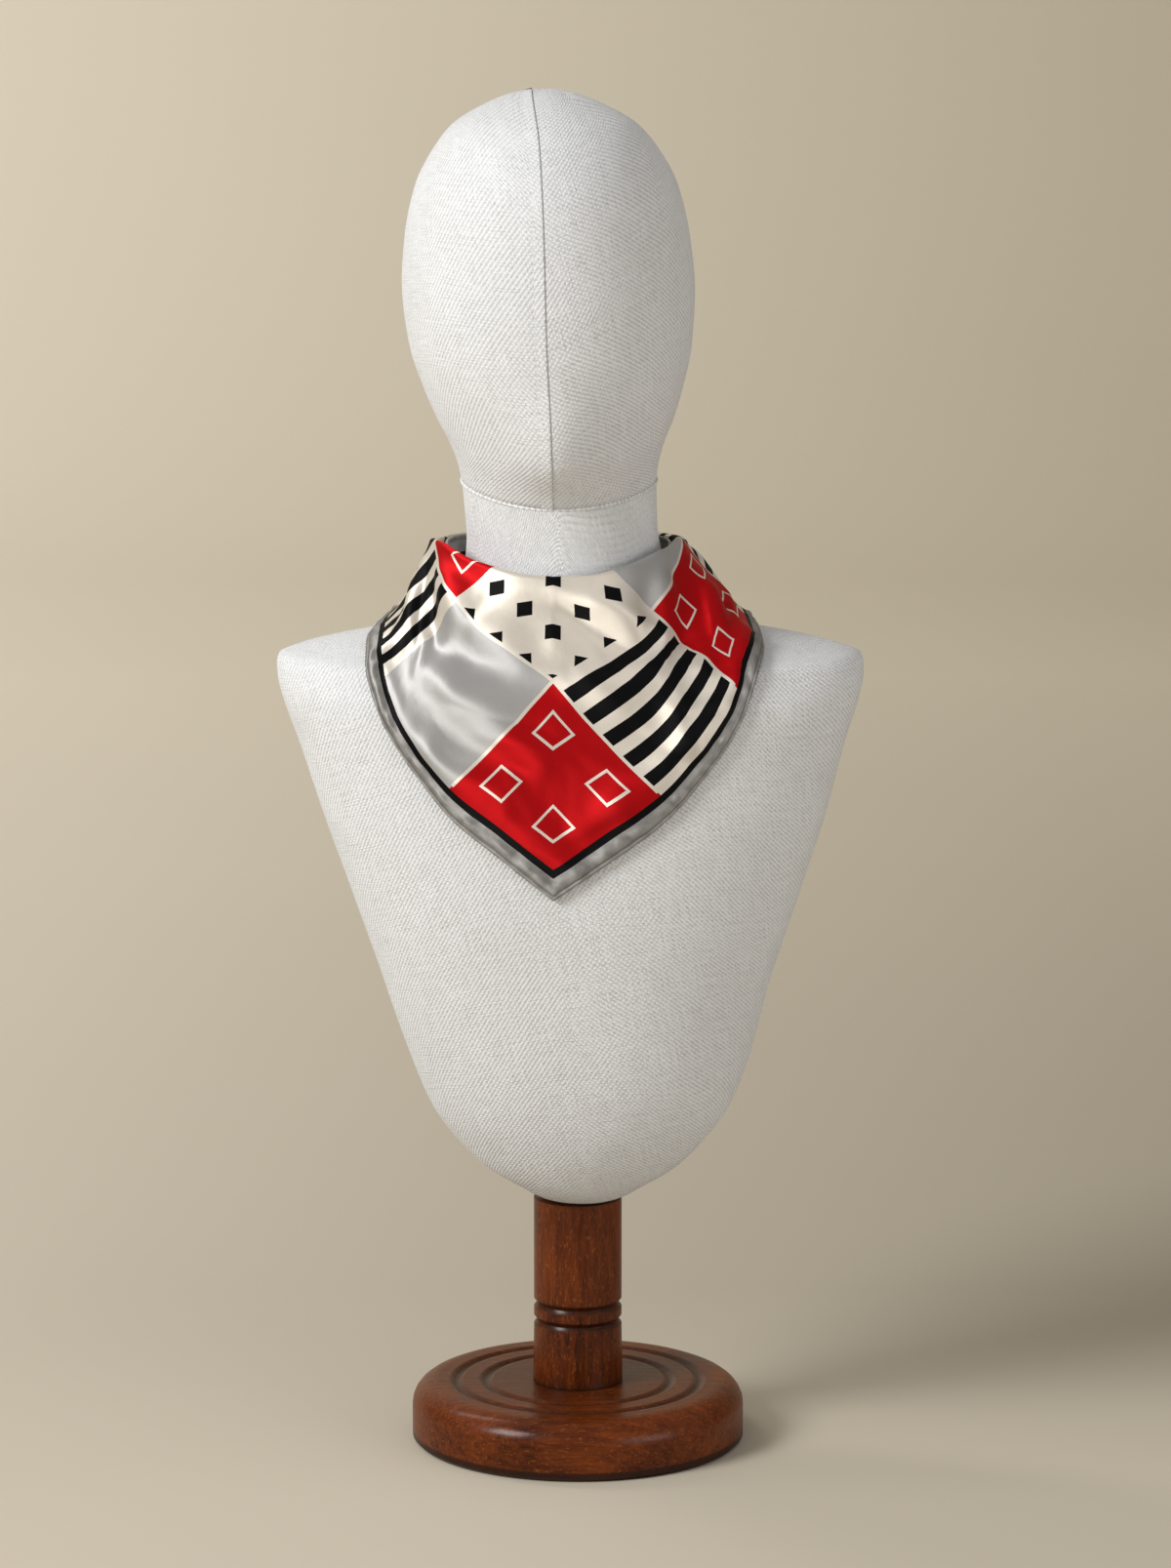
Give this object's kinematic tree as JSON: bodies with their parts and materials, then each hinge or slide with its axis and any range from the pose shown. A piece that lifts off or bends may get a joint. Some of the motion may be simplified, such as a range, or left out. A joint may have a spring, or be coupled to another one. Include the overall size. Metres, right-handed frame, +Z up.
{
  "type": "neck bandana on a head-and-bust display form",
  "caption": "Square silk scarf folded on the diagonal and tied as a bandana, corner to the front, on a faceless linen head-and-bust form with a turned wooden post and round base.",
  "frame": {"origin": "centre of the stand's underside", "axes": "+Z up along the post, the form faces -Y, +X to the right of someone who looks at its front"},
  "size_m": [0.3115, 0.1954, 0.7304],
  "materials": {
    "printed_silk": "printed silk satin with a grey border, soft sheen",
    "printed_silk_ends": "the same printed silk satin, rolled and stitched hem",
    "linen": "pale grey natural linen, plain weave with slubs, matt",
    "linen_head": "pale grey natural linen, plain weave with slubs, matt",
    "varnished_wood": "red-brown stained hardwood, clear satin varnish",
    "varnished_wood_post": "red-brown stained hardwood, clear satin varnish"
  },
  "bodies": {
    "root": {"bandana_front": "printed_silk", "bandana_nape_left": "printed_silk_ends", "bandana_nape_right": "printed_silk_ends", "bandana_knot": "printed_silk_ends", "bandana_tail_left": "printed_silk_ends", "bandana_tail_right": "printed_silk_ends", "form_body": "linen", "form_head": "linen_head", "stand_post": "varnished_wood_post", "stand_base": "varnished_wood"}
  },
  "joints": []
}
